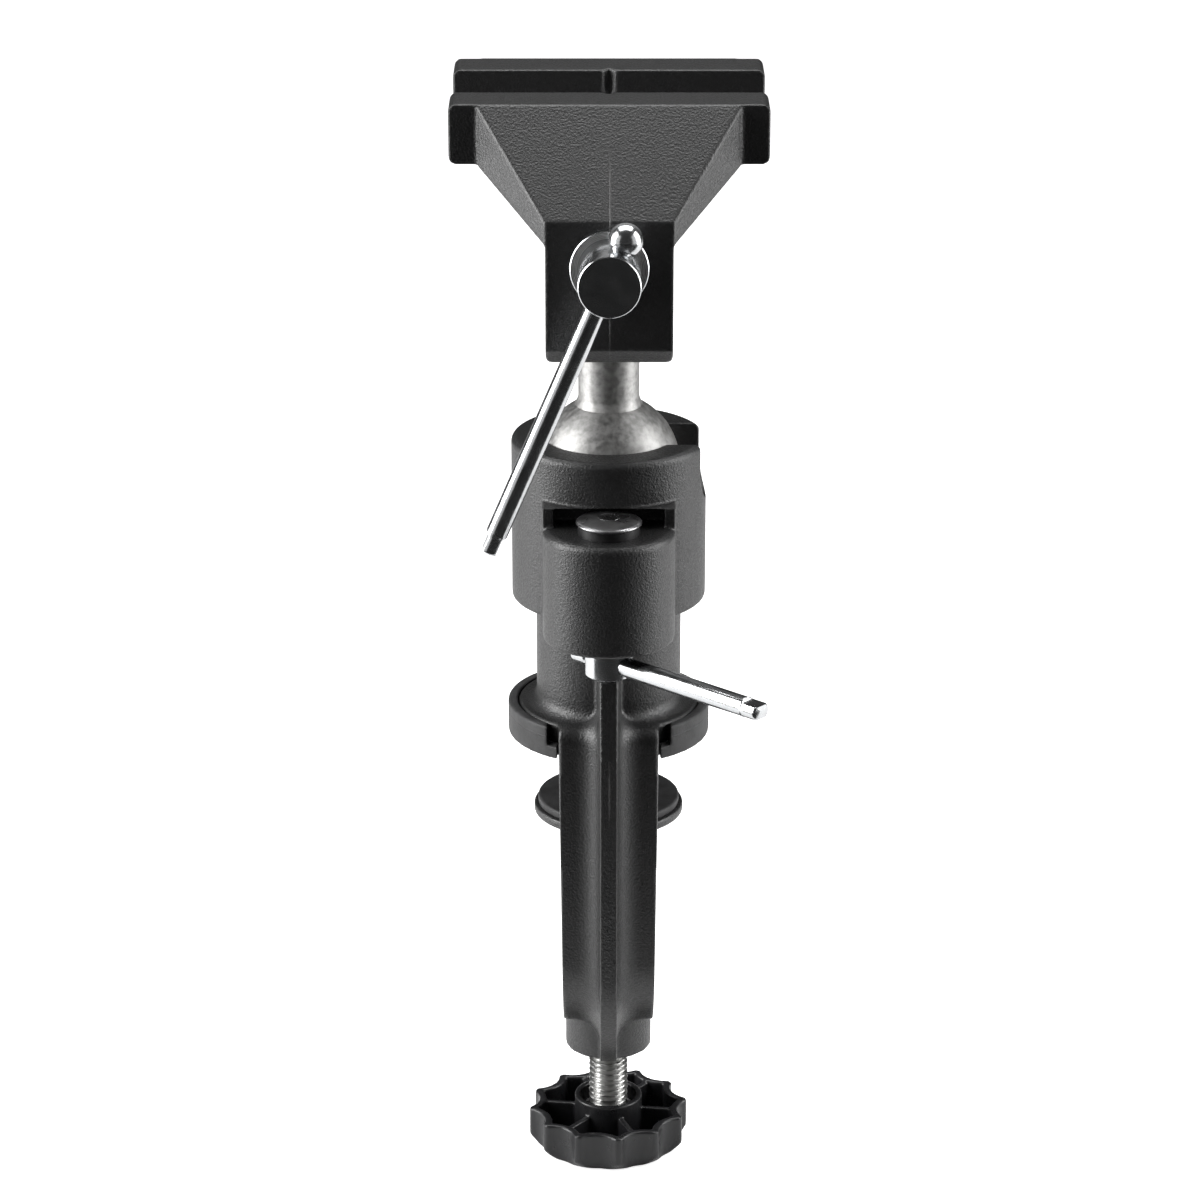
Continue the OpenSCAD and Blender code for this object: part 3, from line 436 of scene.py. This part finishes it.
chrome = chrome_plate("chrome plate", (0.60, 0.61, 0.62), 0.2)
satin = chrome_plate("satin chrome plate", (0.36, 0.36, 0.365), 0.32)
bolt_low, bolt_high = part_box("lock_bolt")
bolt_y = (bolt_low.y + bolt_high.y) / 2
head_r, head_t, dome_h, rim_r = 0.008, 0.0018, 0.0011, 0.00036
shank_r, bolt_pitch, bolt_depth, bolt_bevel = 0.003, 0.001, 0.0005, 0.0004
plain_shank, under_bevel = 0.012, 0.0006
head_z = bolt_high.z - head_t
bolt_from, bolt_to = bolt_low.z + bolt_bevel, head_z - plain_shank
dome_r = (head_r ** 2 + dome_h ** 2) / (2 * dome_h)
dome = [(head_r * t, bolt_high.z - dome_r + math.sqrt(dome_r ** 2 - (head_r * t) ** 2))
        for t in (0.95, 0.9, 0.85, 0.8, 0.7, 0.6, 0.5, 0.42, 0.34)]
dimple = [(0.0027, bolt_high.z - 0.0001), (0.0023, bolt_high.z - 0.0003),
          (0.0015, bolt_high.z - 0.0004), (0, bolt_high.z - 0.00042)]
bolt_outline = ([(0, bolt_low.z), (shank_r - bolt_bevel, bolt_low.z)]
                + run_of_thread(shank_r, bolt_from, bolt_to, bolt_pitch)
                + [(shank_r, head_z), (head_r - under_bevel, head_z)]
                + corner(head_r - rim_r, head_z + rim_r, rim_r, (-80, 75))
                + dome + dimple)
bolt = turned("lock_bolt_turned", bolt_outline, Matrix.Translation((0, bolt_y, 0)),
              thread=(bolt_from, bolt_to, bolt_pitch, bolt_depth))
fit_piece(bolt, "base", "bright_chrome", satin, "lock_bolt")
coat_solids(oxide, "lock_washer")


# Lock nut and bar. A long round nut, chromed, with a cross hole, and the bar that slides in it. The bar's
# ends are pinched in a press so that it can't fall out.
def pinched_bar(name, radius, length, place, pinched=(True, True), sides=64):
    """A round bar from 0 to length along local z, its ends pinched flat across local y."""
    flat_length, step_length, tip_round, pressed, spread_out = 0.0052, 0.0009, 0.0008, 0.36, 0.1
    ring_step, rings_near_end, first_ring = 0.0002, 30, 0.00008

    def pinch(distance):
        fall = min(1.0, max(0.0, (flat_length - distance) / step_length))
        return fall * fall * (3 - 2 * fall)

    fine = [ring_step * i for i in range(1, rings_near_end + 1)]
    heights = [first_ring] + fine + [length - f for f in reversed(fine)] + [length - first_ring]
    skin = bmesh.new()
    rings = []
    for height in heights:
        to_end = min(height, length - height)
        squeeze = pinch(to_end) if pinched[0 if height < length / 2 else 1] else 0.0
        edge = max(0.0, tip_round - to_end) / tip_round
        reach = radius - tip_round * (1 - math.sqrt(1 - edge * edge))
        flat = radius * (1 - pressed * squeeze)
        ring = []
        for side in range(sides):
            angle = 2 * math.pi * side / sides
            x, y = reach * math.cos(angle), reach * math.sin(angle)
            y = max(-flat, min(flat, y))
            ring.append(skin.verts.new((x * (1 + spread_out * squeeze), y, height)))
        rings.append(ring)
    for low, high in zip(rings, rings[1:]):
        for side in range(sides):
            after = (side + 1) % sides
            skin.faces.new((low[side], low[after], high[after], high[side]))
    for ring, height in ((rings[0], 0.0), (rings[-1], length)):
        centre = skin.verts.new((0, 0, height))
        for side in range(sides):
            skin.faces.new((ring[side], ring[(side + 1) % sides], centre))
    bmesh.ops.recalc_face_normals(skin, faces=skin.faces)
    mesh = bpy.data.meshes.new(name)
    skin.to_mesh(mesh)
    skin.free()
    mesh.transform(place)
    piece = bpy.data.objects.new(name, mesh)
    bpy.context.scene.collection.objects.link(piece)
    mesh.shade_smooth()
    mesh.set_sharp_from_angle(angle=math.radians(40))
    return piece


bar_low, bar_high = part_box("lock_bar")
lock_along = Vector(next(j for j in frame["joints"] if j["name"] == "lock_bar_slide")["axis"])
lock_centre = Vector((0, bolt_y, (bar_low.z + bar_high.z) / 2))
lock_long, lock_short, lock_r = 0.049, 0.0106, 0.0025
lock_place = (Matrix.Translation(lock_centre - lock_along * lock_short)
              @ lock_along.to_track_quat("Z", "Y").to_matrix().to_4x4())
lock_bar = pinched_bar("lock_bar_pinched", lock_r, lock_long + lock_short, lock_place)
fit_piece(lock_bar, "lock_lever", "bright_chrome", chrome, "lock_bar")
coat_solids(chrome, "lock_nut")
coat_solids(zinc, "thrust_washer")


# Jaws. Two more castings in the same coat: the rear one carries the rail and the block with the steel
# thread insert, and the front one the long plate that slides under the rail. A screw and a washer hold the
# rail on the stem. Both gripping faces are grooved.
jaw_low, jaw_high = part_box("moving_jaw")
seamed_coat = powder_coat("jaws' powder coat", seam=(jaw_low.z - 0.005, jaw_high.z - 0.0005))
rear_jaw = cast_from("fixed_jaw", 0.0004, 4)
fit_piece(rear_jaw, "head", "coated_casting", seamed_coat, "fixed_jaw")
front_jaw = cast_from("moving_jaw", 0.0004, 4)
fit_piece(front_jaw, "jaw_slider", "coated_casting", seamed_coat, "moving_jaw")
coat_solids(zinc, "spindle_nut", "stem_washer")
coat_solids(oxide, "stem_screw")


# Spindle. Chromed steel with a 2 mm thread, a flange that pushes the front jaw and a round head with a
# cross hole for the T-bar. A spring ring and a washer behind the front block pull the jaw back.
spindle_low, spindle_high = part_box("spindle")
spin_z = (spindle_low.z + spindle_high.z) / 2
spindle_r, hub_r, hub_length, flange_r, flange_t = 0.006, 0.00725, 0.017, 0.00915, 0.002
thin_bevel, back_bevel, end_bevel, groove = 0.0002, 0.0003, 0.0006, 0.001
spindle_pitch, spindle_depth, bare_length, hub_fillet = 0.002, 0.0011, 0.003, 0.0004
flange_y = spindle_low.y + hub_length
flange_front = flange_y - flange_t
clip_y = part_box("clip_washer")[1].y
clip_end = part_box("spindle_clip")[1].y
thread_from, thread_to = clip_end + bare_length, spindle_high.y - end_bevel
along_y = Matrix.Translation((0, 0, spin_z)) @ Matrix.Rotation(math.radians(-90), 4, "X")
spindle_outline = ([(0, spindle_low.y), (hub_r - thin_bevel, spindle_low.y),
                    (hub_r, spindle_low.y + thin_bevel), (hub_r, flange_front),
                    (hub_r + hub_fillet, flange_front)]
                   + [(flange_r - thin_bevel, flange_front), (flange_r, flange_front + thin_bevel),
                      (flange_r, flange_y - back_bevel), (flange_r - back_bevel, flange_y),
                      (spindle_r, flange_y)]
                   + [(spindle_r, clip_y), (spindle_r - groove, clip_y), (spindle_r - groove, clip_end),
                      (spindle_r, clip_end)]
                   + run_of_thread(spindle_r, thread_from, thread_to, spindle_pitch)
                   + [(spindle_r - end_bevel, spindle_high.y), (0, spindle_high.y)])
spindle = turned("spindle_turned", spindle_outline, along_y, sides=96,
                 thread=(thread_from, thread_to, spindle_pitch, spindle_depth))
t_axis = Vector(next(j for j in frame["joints"] if j["name"] == "t_bar_slide")["axis"]).normalized()
t_centre = Vector((0, next(j for j in frame["joints"] if j["name"] == "spindle_turn")["pos_m"][1], spin_z))
t_turn = t_axis.to_track_quat("Z", "Y").to_matrix().to_4x4()
bar_r, bar_fit, drill_reach = 0.0026, 0.00005, 0.012
hole_r = bar_r + bar_fit
drill_outline = [(0, -drill_reach), (hole_r, -drill_reach), (hole_r, drill_reach), (0, drill_reach)]
drill = turned("drill", drill_outline, Matrix.Translation(t_centre) @ t_turn, sides=48)
shaped(spindle, [("BOOLEAN", {"operation": "DIFFERENCE", "object": drill, "solver": "EXACT"})])
spindle.data.set_sharp_from_angle(angle=math.radians(38))
bpy.data.objects.remove(drill)
fit_piece(spindle, "spindle_body", "bright_chrome", chrome, "spindle")
coat_solids(oxide, "spindle_clip")
coat_solids(zinc, "clip_washer")


def faced_steel():
    """Left by the lathe: fine rings round the spindle's axis."""
    material, tree, shader = finish("faced steel", (0.42, 0.42, 0.42), 1.0, 0.4)
    place = tree.nodes.new("ShaderNodeTexCoord")
    turn = tree.nodes.new("ShaderNodeMapping")
    turn.inputs["Location"].default_value = (0, 0, -spin_z)
    turn.inputs["Scale"].default_value = (1, 0, 1)
    rings = tree.nodes.new("ShaderNodeTexWave")
    rings.wave_type, rings.rings_direction = "RINGS", "SPHERICAL"
    rings.inputs["Scale"].default_value = 900
    rings.inputs["Distortion"].default_value = 1.5
    tree.links.new(place.outputs["Object"], turn.inputs["Vector"])
    tree.links.new(turn.outputs["Vector"], rings.inputs["Vector"])
    tint(tree, shader, rings.outputs["Fac"], (0.25, 0.25, 0.25), (0.6, 0.6, 0.6))
    relief(tree, shader, [(rings.outputs["Fac"], 0.00004)], 0.7)
    return material


spindle.data.materials.append(faced_steel())
past_hole_y, facing_forwards = spindle_low.y + 0.010, -0.9
for face in spindle.data.polygons:
    out = math.hypot(face.center.x, face.center.z - spin_z)
    if face.normal.y < facing_forwards and out > hub_r and face.center.y > past_hole_y:
        face.material_index = 1


# T-bar. A chromed bar that slides through the spindle's head, pinched at one end and with a ball pressed
# on the other.
bar_down, knob_r, ball_foot, hub_gap = 0.072, 0.0041, 0.0019, 0.0003
foot_at = hub_r + hub_gap
ball_up = foot_at + ball_foot
t_bar = pinched_bar("t_bar_pinched", bar_r, bar_down + ball_up,
                    Matrix.Translation(t_centre - t_axis * bar_down) @ t_turn, pinched=(True, False))
fit_piece(t_bar, "t_bar", "bright_chrome", chrome, "spindle_bar")
ball_skin = ([(bar_r, foot_at), (0.0033, foot_at), (0.0036, foot_at + 0.00025)]
             + [(knob_r * math.cos(math.radians(a)), ball_up + knob_r * math.sin(math.radians(a)))
                for a in range(-22, 90, 6)] + [(0, ball_up + knob_r)])
t_ball = turned("t_bar_ball", ball_skin, Matrix.Translation(t_centre) @ t_turn, sides=64)
fit_piece(t_ball, "t_bar", "bright_chrome", chrome, "bar_ball")


# Studio. A pale floor under the clamp's knob, soft lamps on both sides and above, and a black flag in
# front that the camera doesn't see, which darkens what faces the camera.
def soft_lamp(name, place, aim, width, height, power):
    lamp = bpy.data.lights.new(name, "AREA")
    lamp.shape = "RECTANGLE"
    lamp.size, lamp.size_y, lamp.energy = width, height, power
    holder = bpy.data.objects.new(name, lamp)
    holder.location = place
    holder.rotation_euler = (Vector(aim) - Vector(place)).to_track_quat("-Z", "Y").to_euler()
    bpy.context.scene.collection.objects.link(holder)


def sheet_of(name, x, y, z):
    mesh = bpy.data.meshes.new(name)
    mesh.from_pydata([(x[0], y[0], z), (x[1], y[0], z), (x[1], y[1], z), (x[0], y[1], z)],
                     [], [(0, 1, 2, 3)])
    sheet = bpy.data.objects.new(name, mesh)
    bpy.context.scene.collection.objects.link(sheet)
    return sheet


floor_z = cad_box[0].z - 0.0002
floor = sheet_of("floor", (-6, 6), (-6, 6), floor_z)
pale, pale_tree, pale_shader = finish("pale floor", (0.86, 0.86, 0.86), roughness=0.8)
glow = pale_tree.nodes.new("ShaderNodeEmission")
ray = pale_tree.nodes.new("ShaderNodeLightPath")
join = pale_tree.nodes.new("ShaderNodeAddShader")
output = pale_tree.nodes["Material Output"]
pale_tree.links.new(ray.outputs["Is Camera Ray"], glow.inputs["Strength"])
glow.inputs["Color"].default_value = (0.8, 0.8, 0.8, 1)
pale_tree.links.new(pale_shader.outputs["BSDF"], join.inputs[0])
pale_tree.links.new(glow.outputs["Emission"], join.inputs[1])
pale_tree.links.new(join.outputs["Shader"], output.inputs["Surface"])
floor.data.materials.append(pale)
flag = sheet_of("black_flag", (-1.4, 1.4), (-2.2, -0.12), floor_z + 0.003)
flag.data.materials.append(finish("black flag", (0.002, 0.002, 0.002), roughness=1.0)[0])
flag.visible_camera = False
flag.visible_shadow = False

soft_lamp("left_box", (-0.95, -0.10, 0.28), (0, 0, 0.03), 0.55, 1.2, 20)
soft_lamp("right_box", (0.95, -0.02, 0.28), (0, 0, 0.03), 0.5, 1.2, 11.5)
soft_lamp("top_box", (0, 0.30, 1.15), (0, 0, 0.05), 1.2, 0.7, 14)
soft_lamp("left_scrim", (-0.80, -0.62, 0.25), (0, 0, 0.03), 0.5, 1.2, 1.3)
soft_lamp("right_scrim", (0.84, -0.56, 0.25), (0, 0, 0.03), 0.45, 1.2, 1.1)

world = bpy.data.worlds.new("studio")
bpy.context.scene.world = world
world.use_nodes = True
sky = world.node_tree.nodes["Background"]
sky.inputs["Color"].default_value = (1, 1, 1, 1)
sky_ray = world.node_tree.nodes.new("ShaderNodeLightPath")
level = world.node_tree.nodes.new("ShaderNodeMapRange")
level.inputs["To Min"].default_value = 0.04
level.inputs["To Max"].default_value = 1.0
world.node_tree.links.new(sky_ray.outputs["Is Camera Ray"], level.inputs["Value"])
world.node_tree.links.new(level.outputs["Result"], sky.inputs["Strength"])

camera = bpy.data.cameras.new("camera")
camera.sensor_width = 36
camera.lens = 123.36
camera.clip_start = 0.05
eye = bpy.data.objects.new("camera", camera)
eye.location = (-0.00215, -0.9607, 0.3916)
eye.rotation_euler = (math.radians(90 - 20.42), 0, 0)
bpy.context.scene.collection.objects.link(eye)
bpy.context.scene.camera = eye
bpy.context.scene.view_settings.view_transform = "Standard"
